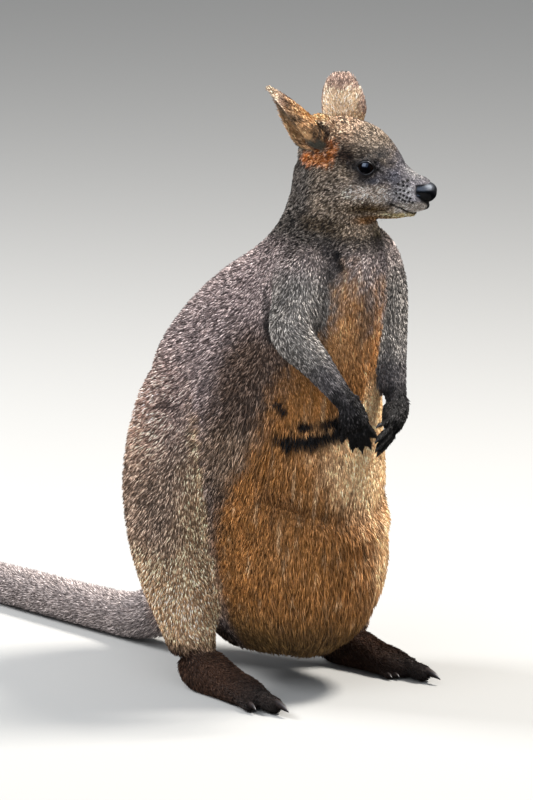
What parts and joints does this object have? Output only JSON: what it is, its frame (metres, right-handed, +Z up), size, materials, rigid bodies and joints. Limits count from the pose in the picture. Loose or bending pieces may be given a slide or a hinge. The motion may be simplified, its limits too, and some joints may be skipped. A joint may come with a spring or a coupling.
{
  "type": "swamp wallaby",
  "caption": "Life-size swamp wallaby standing upright on its hind feet and tail, head turned to its left, forepaws hanging over the belly.",
  "frame": {"origin": "on the floor, at the middle of the model's footprint, which runs from the hind claws and fore claws to the tail tip", "axes": "+Z up, the animal's chest faces -Y and its tail lies towards +Y, its own left side is +X"},
  "size_m": [0.2934, 0.9783, 0.6839],
  "materials": {
    "grey_brown_coat": "grizzled grey-brown fur",
    "orange_coat": "rusty orange fur",
    "dark_coat": "short black-brown fur",
    "nose_leather": "moist bare skin",
    "eye_dark": "wet dark brown",
    "claw_horn": "dark horn"
  },
  "bodies": {
    "root": {"head": "grey_brown_coat", "neck": "grey_brown_coat", "chest": "grey_brown_coat", "belly": "orange_coat", "tail_base": "grey_brown_coat", "tail_middle": "grey_brown_coat", "tail_end": "grey_brown_coat", "nose": "nose_leather", "ear_L": "grey_brown_coat", "upper_arm_L": "grey_brown_coat", "forearm_L": "grey_brown_coat", "thigh_L": "grey_brown_coat", "shank_L": "grey_brown_coat", "hand_L": "dark_coat", "foot_L": "dark_coat", "eye_L": "eye_dark", "finger_claw_L_1": "claw_horn", "finger_claw_L_2": "claw_horn", "finger_claw_L_3": "claw_horn", "finger_claw_L_4": "claw_horn", "finger_claw_L_5": "claw_horn", "long_toe_claw_L": "claw_horn", "outer_toe_claw_L": "claw_horn", "combing_toe_1_claw_L": "claw_horn", "combing_toe_2_claw_L": "claw_horn", "ear_R": "grey_brown_coat", "upper_arm_R": "grey_brown_coat", "forearm_R": "grey_brown_coat", "thigh_R": "grey_brown_coat", "shank_R": "grey_brown_coat", "hand_R": "dark_coat", "foot_R": "dark_coat", "eye_R": "eye_dark", "finger_claw_R_1": "claw_horn", "finger_claw_R_2": "claw_horn", "finger_claw_R_3": "claw_horn", "finger_claw_R_4": "claw_horn", "finger_claw_R_5": "claw_horn", "long_toe_claw_R": "claw_horn", "outer_toe_claw_R": "claw_horn", "combing_toe_1_claw_R": "claw_horn", "combing_toe_2_claw_R": "claw_horn"}
  },
  "joints": []
}
